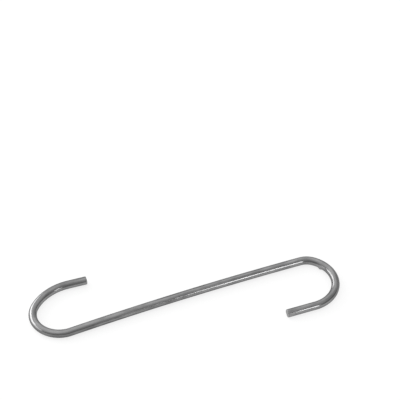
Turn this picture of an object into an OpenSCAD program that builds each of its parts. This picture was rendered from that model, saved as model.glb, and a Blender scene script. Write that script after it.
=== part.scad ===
// S hook bent from one length of round steel wire.
//
// It lies flat on the surface below it, with its length along X. The rail hook is at the -X
// end and curls towards +Y. The load hook is at the +X end and curls towards -Y. The origin
// is in the middle of the hook's outline, on that surface.

/* [Wire] */
// Diameter of the round wire
wire_d = 4; // [3:0.1:6]
// Width of the small bevel round each cut end
end_bevel = 0.3; // [0.1:0.05:0.8]

/* [Shank] */
// Length of the wire from bend to bend
shank_len = 120; // [80:1:180]
// How far the middle of the shank bows towards +Y
shank_bow = 1.2; // [0.5:0.1:3]

/* [Rail hook] */
// Inside radius of the bend next to the shank
rail_root_r = 11; // [6:0.5:20]
// Angle that the wire turns at that radius
rail_root_turn = 136; // [100:1:150]
// Inside radius where the bend opens out towards the leg
rail_nose_r = 23; // [8:0.5:40]
// Angle that the wire turns at that radius
rail_nose_turn = 51; // [20:1:60]
// Length of the straight leg
rail_leg = 9; // [4:0.5:30]

/* [Load hook] */
// Inside radius of the bend next to the shank
load_root_r = 7; // [5:0.5:20]
// Angle that the wire turns at that radius
load_root_turn = 41; // [20:1:60]
// Inside radius where the bend opens out towards the leg
load_nose_r = 14; // [8:0.5:40]
// Angle that the wire turns at that radius
load_nose_turn = 139; // [100:1:150]
// Length of the straight leg
load_leg = 14.5; // [4:0.5:30]

/* [Hidden] */
$fn = 64;

wire_r = wire_d / 2;

// The stretches of wire fuse into one solid because each bend next to the shank, and each
// leg, is a hair thicker than its neighbours and laps over their ends
lap = 0.1;
lap_r = wire_r + 0.01;

// The bow is one wide arc, so shallow that its chord can be taken as its length
shank_r = shank_len * shank_len / (8 * shank_bow);
half_shank_turn = shank_len / shank_r / 2 * 180 / PI;

// The way from the middle of the shank to each leg, as the radius of the wire's centre line
// and the angle that it turns to the right. On the way to the rail hook the bow turns left.
load_way = [
    [shank_r, half_shank_turn],
    [load_root_r + wire_r, load_root_turn],
    [load_nose_r + wire_r, load_nose_turn]
];
rail_way = [
    [shank_r, -half_shank_turn],
    [rail_root_r + wire_r, rail_root_turn],
    [rail_nose_r + wire_r, rail_nose_turn]
];

// The point reached from point p, heading h, after a turn of angle a at radius r
function turned(p, h, r, a) =
    p + sign(a) * r * [sin(h) - sin(h - a), cos(h - a) - cos(h)];

// Points along the centre line of a way, four to a degree, and the tip of its leg
function line_points(way, leg, step = 0, p = [0, 0], h = 0) =
    step == len(way)
        ? [p + leg * [cos(h), sin(h)]]
        : let (r = way[step][0], a = way[step][1], count = ceil(abs(a) * 4))
          concat(
              [for (i = [0:count]) turned(p, h, r, a * i / count)],
              line_points(way, leg, step + 1, turned(p, h, r, a), h - a)
          );

// The rail hook's way starts towards -X, half a turn round from the load hook's
centre_line = concat(
    line_points(load_way, load_leg),
    [for (p = line_points(rail_way, rail_leg)) -p]
);
line_x = [for (p = centre_line) p.x];
line_y = [for (p = centre_line) p.y];
middle_x = (min(line_x) + max(line_x)) / 2;
middle_y = (min(line_y) + max(line_y)) / 2;

// An arc of wire from the origin, heading +X and turning right, run on by the lap at both ends
module arc(bend, r_wire, run_on = 0) {
    extra = run_on / bend[0] * 180 / PI;
    translate([0, -bend[0], 0])
        rotate([0, 0, 90 - bend[1] - extra])
            rotate_extrude(angle = bend[1] + 2 * extra)
                translate([bend[0], 0])
                    circle(r = r_wire);
}

// Moves what follows to the end of an arc, heading along the wire
module after(bend) {
    side = sign(bend[1]);
    translate([0, -side * bend[0], 0])
        rotate([0, 0, -bend[1]])
            translate([0, side * bend[0], 0])
                children();
}

// The shank, bowed towards +Y about the origin
module shank() {
    translate([0, -shank_r, 0])
        rotate([0, 0, 90 - half_shank_turn])
            rotate_extrude(angle = 2 * half_shank_turn)
                translate([shank_r, 0])
                    circle(r = wire_r);
}

// A straight leg, cut off square and bevelled at its tip
module leg(leg_len) {
    rotate([0, 90, 0]) {
        translate([0, 0, -lap])
            cylinder(h = leg_len - end_bevel + lap, r = lap_r);
        translate([0, 0, leg_len - end_bevel])
            cylinder(h = end_bevel, r1 = lap_r, r2 = lap_r - end_bevel);
    }
}

// One hook at the end of the shank: a tight bend, a wider one and the leg
module hook(way, leg_len) {
    after(way[0]) {
        arc(way[1], lap_r, lap);
        after(way[1]) {
            arc(way[2], wire_r);
            after(way[2])
                leg(leg_len);
        }
    }
}

module s_hook() {
    color("silver")
        translate([-middle_x, -middle_y, wire_r])
            union() {
                shank();
                hook(load_way, load_leg);
                rotate([0, 0, 180])
                    hook(rail_way, rail_leg);
            }
}

s_hook();
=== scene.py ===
# A long S hook of bright steel wire, lying on a pale floor. Lengths are in metres.
from math import ceil, copysign, cos, pi, radians, sin

import bpy
import numpy as np
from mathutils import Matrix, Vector


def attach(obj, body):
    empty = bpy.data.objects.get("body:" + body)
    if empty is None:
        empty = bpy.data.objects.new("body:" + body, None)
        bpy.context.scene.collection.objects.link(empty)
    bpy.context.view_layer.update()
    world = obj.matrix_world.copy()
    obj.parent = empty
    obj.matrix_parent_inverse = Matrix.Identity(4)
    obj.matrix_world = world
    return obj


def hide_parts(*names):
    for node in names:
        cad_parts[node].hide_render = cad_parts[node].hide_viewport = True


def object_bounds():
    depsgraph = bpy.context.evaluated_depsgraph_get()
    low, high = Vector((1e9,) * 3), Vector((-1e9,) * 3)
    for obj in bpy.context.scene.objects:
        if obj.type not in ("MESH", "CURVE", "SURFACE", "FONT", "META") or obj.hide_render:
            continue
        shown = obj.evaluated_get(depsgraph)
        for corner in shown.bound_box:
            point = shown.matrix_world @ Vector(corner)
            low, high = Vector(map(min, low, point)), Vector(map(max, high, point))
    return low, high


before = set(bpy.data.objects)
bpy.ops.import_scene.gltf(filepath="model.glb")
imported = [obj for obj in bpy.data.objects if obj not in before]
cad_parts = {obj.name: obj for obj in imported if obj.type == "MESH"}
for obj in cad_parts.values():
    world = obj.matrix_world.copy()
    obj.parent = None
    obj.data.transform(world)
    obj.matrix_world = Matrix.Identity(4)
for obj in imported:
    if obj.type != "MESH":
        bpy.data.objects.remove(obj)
solid_low, solid_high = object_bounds()
bpy.ops.object.select_all(action="DESELECT")


# The bent wire
#
# One length of round steel wire, drawn hard and bright. Each end is bent cold round a tight
# pin and then a wider one, and the shank between the hooks is left with a slight bow.
wire_r = 0.002
shank_len = 0.120
shank_bow = 0.0012
rail_pins = [(0.011, 136), (0.023, 51)]
rail_leg = 0.009
load_pins = [(0.007, 41), (0.014, 139)]
load_leg = 0.0145
shank_step = 0.001
bend_step = radians(2.5)
points_round = 48

shank_r = shank_len**2 / (8 * shank_bow)
half_shank_turn = shank_len / 2 / shank_r


def bend(end, heading, radius, turn, steps):
    """Carries the open end round a pin on its right, or on its left if the turn is negative."""
    side = copysign(1, turn)
    pin = end + side * radius * Vector((sin(heading), -cos(heading), 0))
    bpy.ops.mesh.spin(steps=steps, angle=turn, center=pin, axis=(0, 0, 1))
    line = []
    for i in range(steps + 1):
        h = heading - turn * i / steps
        line.append((pin - side * radius * Vector((sin(h), -cos(h), 0)), h))
    return line


def extend(heading, distance):
    """Carries the wire's open end straight on."""
    ahead = distance * Vector((cos(heading), sin(heading), 0))
    bpy.ops.mesh.extrude_region_move(TRANSFORM_OT_translate={"value": ahead})
    return ahead


def narrow(end, factor):
    """Draws the open end in towards its middle."""
    bpy.ops.transform.resize(value=(factor, factor, factor), center_override=end)


# The cut ends are sheared off square. The shear rolls the rim over a little and leaves the
# face slightly dished, with a torn grain in place of the drawn skin.
rim_width = 0.0003
rim_steps = [(0.25, 0.995), (0.45, 0.975), (0.3, 0.93)]
face_steps = [(0.00002, 0.90), (-0.00003, 0.75), (-0.00004, 0.55)]


def cut_end(end, heading):
    """Closes the open end with a rolled rim and a dished face."""
    radius = 1.0
    for share, size in rim_steps:
        end = end + extend(heading, rim_width * share)
        narrow(end, size / radius)
        radius = size
    for forward, size in face_steps:
        end = end + extend(heading, forward)
        narrow(end, size / radius)
        radius = size
    bpy.ops.mesh.edge_face_add()
    bpy.ops.mesh.poke()


def bend_hook(heading, shank_turn, pins, leg):
    """Bends one hook from the open ring in mid shank, and gives the line that the wire follows."""
    line = [(Vector((0, 0, wire_r)), heading)]
    stretches = [(shank_r, shank_turn, ceil(shank_len / 2 / shank_step))]
    for inside, degrees in pins:
        turn = radians(degrees)
        stretches.append((inside + wire_r, turn, ceil(turn / bend_step)))
    for radius, turn, steps in stretches:
        line += bend(*line[-1], radius, turn, steps)[1:]
    end, heading = line[-1]
    end = end + extend(heading, leg - rim_width)
    cut_end(end, heading)
    line.append((end + rim_width * Vector((cos(heading), sin(heading), 0)), heading))
    return line


bpy.ops.mesh.primitive_circle_add(
    vertices=points_round, radius=wire_r, location=(0, 0, wire_r), rotation=(0, pi / 2, 0)
)
wire = bpy.context.object
wire.name = "bent_wire"
bpy.ops.object.transform_apply()
bpy.ops.object.mode_set(mode="EDIT")
bpy.ops.mesh.select_all(action="SELECT")
load_line = bend_hook(0, half_shank_turn, load_pins, load_leg)

# The other hook starts from the same ring, which is the only one at the middle of the shank
ring_width = 1e-6
bpy.ops.mesh.select_all(action="DESELECT")
bpy.ops.object.mode_set(mode="OBJECT")
for point in wire.data.vertices:
    point.select = abs(point.co.x) < ring_width
bpy.ops.object.mode_set(mode="EDIT")
rail_line = bend_hook(pi, -half_shank_turn, rail_pins, rail_leg)

bpy.ops.mesh.select_all(action="SELECT")
bpy.ops.mesh.normals_make_consistent(inside=False)
bpy.ops.mesh.faces_shade_smooth()
bpy.ops.object.mode_set(mode="OBJECT")

# Each point also keeps the place that it had in the straight wire, as a distance along it
# from the middle of the shank and a place across it, so that the drawn lines follow the bends.
line_place = np.array([p[:2] for p, h in load_line + rail_line])
line_heading = np.array([h for p, h in load_line + rail_line])
line_way = np.repeat([1.0, -1.0], [len(load_line), len(rail_line)])
steps_x = np.diff(line_place[:, 0], prepend=0)
steps_y = np.diff(line_place[:, 1], prepend=0)
step_len = np.hypot(steps_x, steps_y)
step_len[len(load_line)] = 0
line_along = np.concatenate(
    [np.cumsum(step_len[: len(load_line)]), np.cumsum(step_len[len(load_line) :])]
)

place = np.array([v.co[:] for v in wire.data.vertices])
nearest = np.hypot(
    place[:, None, 0] - line_place[None, :, 0], place[:, None, 1] - line_place[None, :, 1]
).argmin(axis=1)
off = place[:, :2] - line_place[nearest]
ahead = np.stack([np.cos(line_heading), np.sin(line_heading)], axis=1)[nearest]
way = line_way[nearest]
along = way * (line_along[nearest] + (off * ahead).sum(axis=1))
across = way * (off[:, 1] * ahead[:, 0] - off[:, 0] * ahead[:, 1])
straight = wire.data.attributes.new("straight", "FLOAT_VECTOR", "POINT")
straight.data.foreach_set(
    "vector", np.stack([along, across, place[:, 2] - wire_r], axis=1).ravel()
)

# A small lump stands on the inner side of the load hook's bend, turned a little downwards.
# It is told by its place along the wire and round it from the innermost line.
lump_along = 0.0716
lump_angle = radians(-25)
lump_length = 0.0009
lump_width = 0.0007
lump_height = 0.0006

around = np.arctan2(place[:, 2] - wire_r, -across)
away = np.hypot(
    (along - lump_along) / lump_length, wire_r * (around - lump_angle) / lump_width
)
outward = np.column_stack([off, place[:, 2] - wire_r]) / wire_r
lump = outward * (lump_height * np.exp(-(away**2)))[:, None]

# The shank's middle goes where the solid has it, with the outline's middle at the origin
solid_middle = (solid_low + solid_high) / 2
wire_middle = Vector((place.min(axis=0) + place.max(axis=0)) / 2)
shift = Vector((solid_middle.x - wire_middle.x, solid_middle.y - wire_middle.y, 0))
for point, raised in zip(wire.data.vertices, lump):
    point.co += shift + Vector(raised)
shank_middle = shift + Vector((0, 0, wire_r))


# The steel
#
# The wire is bare and bright from the die: fine lines and broader bands run along it, with
# faint smears where it was handled. The sheared faces are lighter and duller, with a grain.
steel_edge = (0.5, 0.5, 0.5, 1)
relief_strength = 0.25
mottle_low = 0.35
mottle_high = 0.65

drawn_dark = (0.130, 0.130, 0.131, 1)
drawn_light = (0.320, 0.320, 0.322, 1)
drawn_gloss = 0.14
die_line_stretch = (25, 3500, 3500)
die_line_detail = 3.0
die_line_dulling = 0.06
die_line_depth = 0.00002
band_stretch = (9, 1100, 1100)
band_detail = 2.0
smear_stretch = (150, 450, 450)
smear_detail = 5.0
smear_share = 0.45
smear_dulling = 0.07

sheared_dark = (0.34, 0.34, 0.34, 1)
sheared_light = (0.50, 0.50, 0.50, 1)
sheared_gloss = 0.38
grain_stretch = (2000, 2600, 1300)
grain_detail = 4.0
grain_dulling = 0.12
grain_depth = 0.00006


def worked(tree, operation, *values):
    """The result of a sum in a node tree, from numbers or from other nodes' values."""
    node = tree.nodes.new("ShaderNodeMath")
    node.operation = operation
    for value, socket in zip(values, node.inputs):
        if isinstance(value, (int, float)):
            socket.default_value = value
        else:
            tree.links.new(value, socket)
    return node.outputs["Value"]


def steel(name):
    """A bare steel, and the socket that tells each point's place in the straight wire."""
    skin = bpy.data.materials.new(name)
    skin.use_nodes = True
    shader = skin.node_tree.nodes["Principled BSDF"]
    shader.inputs["Metallic"].default_value = 1.0
    shader.inputs["Specular Tint"].default_value = steel_edge
    place = skin.node_tree.nodes.new("ShaderNodeAttribute")
    place.attribute_name = "straight"
    return skin, place.outputs["Vector"]


def mottling(tree, place, stretch, detail):
    """Mottling, finer the larger the stretch is along, across and up the wire."""
    mapping = tree.nodes.new("ShaderNodeMapping")
    mapping.inputs["Scale"].default_value = stretch
    tree.links.new(place, mapping.inputs["Vector"])
    texture = tree.nodes.new("ShaderNodeTexNoise")
    texture.inputs["Scale"].default_value = 1.0
    texture.inputs["Detail"].default_value = detail
    tree.links.new(mapping.outputs["Vector"], texture.inputs["Vector"])
    return texture.outputs["Fac"]


def spread(tree, mottle, first, last):
    """Turns the middle stretch of a mottling's values into a range from first to last."""
    node = tree.nodes.new("ShaderNodeMapRange")
    node.inputs["From Min"].default_value = mottle_low
    node.inputs["From Max"].default_value = mottle_high
    node.inputs["To Min"].default_value = first
    node.inputs["To Max"].default_value = last
    tree.links.new(mottle, node.inputs["Value"])
    return node.outputs["Result"]


def finish_steel(tree, dark, light, mix, roughness, relief, depth):
    """Gives the steel its two tones, its gloss and its fine relief."""
    shader = tree.nodes["Principled BSDF"]
    tone = tree.nodes.new("ShaderNodeMix")
    tone.data_type = "RGBA"
    tone.inputs["A"].default_value = dark
    tone.inputs["B"].default_value = light
    tree.links.new(mix, tone.inputs["Factor"])
    tree.links.new(tone.outputs["Result"], shader.inputs["Base Color"])
    tree.links.new(roughness, shader.inputs["Roughness"])
    bump = tree.nodes.new("ShaderNodeBump")
    bump.inputs["Strength"].default_value = relief_strength
    bump.inputs["Distance"].default_value = depth
    tree.links.new(relief, bump.inputs["Height"])
    tree.links.new(bump.outputs["Normal"], shader.inputs["Normal"])


def drawn_steel():
    skin, place = steel("drawn_steel")
    tree = skin.node_tree
    die_lines = mottling(tree, place, die_line_stretch, die_line_detail)
    bands = mottling(tree, place, band_stretch, band_detail)
    smears = mottling(tree, place, smear_stretch, smear_detail)
    smear_part = spread(tree, smears, 0, smear_share)
    band_part = spread(tree, bands, 0, 1 - smear_share)
    mix = worked(tree, "ADD", smear_part, band_part)
    smear_gloss = spread(tree, smears, drawn_gloss, drawn_gloss + smear_dulling)
    line_gloss = spread(tree, die_lines, 0, die_line_dulling)
    roughness = worked(tree, "ADD", smear_gloss, line_gloss)
    finish_steel(tree, drawn_dark, drawn_light, mix, roughness, die_lines, die_line_depth)
    return skin


def sheared_steel():
    skin, place = steel("sheared_steel")
    tree = skin.node_tree
    grain = mottling(tree, place, grain_stretch, grain_detail)
    mix = spread(tree, grain, 0, 1)
    roughness = spread(tree, grain, sheared_gloss, sheared_gloss + grain_dulling)
    finish_steel(tree, sheared_dark, sheared_light, mix, roughness, grain, grain_depth)
    return skin


wire.data.materials.append(drawn_steel())
wire.data.materials.append(sheared_steel())

# The sheared faces are the ones beyond the rolled rim at both tips
face_reach = 0.00008
tip = np.where(along > 0, along.max(), -along.min())
tip_points = np.abs(along) > tip - face_reach
for face in wire.data.polygons:
    if all(tip_points[i] for i in face.vertices):
        face.material_index = 1
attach(wire, "root")
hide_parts("s_hook")


# The floor
#
# A plain white sheet. Seen directly or in the metal it is paper white, and it keeps a soft
# shadow under the wire.
floor_size = 3.0
floor_glow = 0.77
floor_tone = 0.25

bpy.ops.object.select_all(action="DESELECT")
bpy.ops.mesh.primitive_plane_add(size=floor_size, location=(0, 0, 0))
floor = bpy.context.object
floor.name = "floor"
paper = bpy.data.materials.new("white_paper")
paper.use_nodes = True
tree = paper.node_tree
tree.nodes.clear()
matt = tree.nodes.new("ShaderNodeBsdfDiffuse")
matt.inputs["Color"].default_value = (floor_tone, floor_tone, floor_tone, 1)
glow = tree.nodes.new("ShaderNodeEmission")
rays = tree.nodes.new("ShaderNodeLightPath").outputs
seen = worked(tree, "ADD", rays["Is Camera Ray"], rays["Is Glossy Ray"])
seen = worked(tree, "ADD", seen, rays["Is Transmission Ray"])
tree.links.new(worked(tree, "MULTIPLY", seen, floor_glow), glow.inputs["Strength"])
both = tree.nodes.new("ShaderNodeAddShader")
tree.links.new(matt.outputs["BSDF"], both.inputs[0])
tree.links.new(glow.outputs["Emission"], both.inputs[1])
surface = tree.nodes.new("ShaderNodeOutputMaterial")
tree.links.new(both.outputs["Shader"], surface.inputs["Surface"])
floor.data.materials.append(paper)


# The light
#
# A room that is white at the skyline, dim in front and on the right, and brighter overhead and
# behind. A broad soft lamp stands low on the left, with a small one close to the rail hook on
# that side and another in front on the right.
camera_azimuth = -23.088
camera_elevation = 44.0
skyline_full = 0.04
skyline_end = 0.10
wall_light = 0.34
overhead_light = 0.50
behind_azimuth = -150
behind_elevation = 30
behind_light = 0.68
behind_softness = 0.2


def towards(azimuth, elevation):
    """The direction of an azimuth from the camera, 0 being its own side and 90 its right."""
    a, e = radians(camera_azimuth + azimuth), radians(elevation)
    return Vector((sin(a) * cos(e), -cos(a) * cos(e), sin(e)))


def soft_lamp(name, azimuth, elevation, distance, width, height, brightness):
    """A lamp that faces the hook. Its brightness is what the metal sees, where 1 is white."""
    lamp = bpy.data.lights.new(name, "AREA")
    lamp.shape = "RECTANGLE"
    lamp.size, lamp.size_y = width, height
    lamp.energy = brightness * pi * width * height
    stand = bpy.data.objects.new(name, lamp)
    stand.location = distance * towards(azimuth, elevation)
    stand.rotation_euler = stand.location.to_track_quat("Z", "Y").to_euler()
    stand.visible_camera = False
    bpy.context.scene.collection.objects.link(stand)


# Each lamp's azimuth and elevation, then its distance, width, height and brightness. The near
# lamp is faint, as a brighter one turns the shank white when it is seen from low on the right.
soft_lamp("left_lamp", -124, 20, 0.90, 1.00, 0.48, 3.1)
soft_lamp("near_lamp", -76, 13, 0.21, 0.08, 0.07, 1.4)
soft_lamp("right_lamp", 47.4, 18, 0.30, 0.055, 0.08, 6.8)

room = bpy.data.worlds.new("room")
bpy.context.scene.world = room
room.use_nodes = True
tree = room.node_tree
direction = tree.nodes.new("ShaderNodeTexCoord").outputs["Generated"]
axes = tree.nodes.new("ShaderNodeSeparateXYZ")
tree.links.new(direction, axes.inputs["Vector"])
height = axes.outputs["Z"]
backwards = tree.nodes.new("ShaderNodeVectorMath")
backwards.operation = "DOT_PRODUCT"
backwards.inputs[1].default_value = towards(behind_azimuth, behind_elevation)
tree.links.new(direction, backwards.inputs[0])
backness = worked(tree, "SMOOTH_MAX", backwards.outputs["Value"], 0, behind_softness)
behind = worked(tree, "MULTIPLY", behind_light, backness)
upness = worked(tree, "POWER", worked(tree, "MAXIMUM", height, 0), 2)
overhead = worked(tree, "MULTIPLY", overhead_light, upness)
walls = worked(tree, "ADD", wall_light, worked(tree, "ADD", overhead, behind))
skyline = tree.nodes.new("ShaderNodeMapRange")
skyline.inputs["From Min"].default_value = skyline_full
skyline.inputs["From Max"].default_value = skyline_end
skyline.inputs["To Min"].default_value = 1.0
skyline.inputs["To Max"].default_value = 0.0
tree.links.new(height, skyline.inputs["Value"])
white = skyline.outputs["Result"]
wall_part = worked(tree, "MULTIPLY", walls, worked(tree, "SUBTRACT", 1, white))
background = tree.nodes["Background"]
background.inputs["Color"].default_value = (1, 1, 1, 1)
tree.links.new(worked(tree, "ADD", white, wall_part), background.inputs["Strength"])


# The camera
#
# A long lens looks down on the hook from the front, a little to the left of square on.
lens = 225.0
camera_distance = 1.2057
frame_right = -0.00678
frame_up = -0.04553

camera = bpy.data.objects.new("camera", bpy.data.cameras.new("camera"))
camera.data.lens = lens
camera.data.sensor_width = 36.0
camera.data.clip_start = 0.01
camera.rotation_euler = (radians(90 - camera_elevation), 0, radians(camera_azimuth))
turned = camera.rotation_euler.to_matrix()
camera.location = shank_middle + turned @ Vector((-frame_right, -frame_up, camera_distance))
bpy.context.scene.collection.objects.link(camera)
bpy.context.scene.camera = camera
bpy.context.scene.view_settings.view_transform = "Standard"
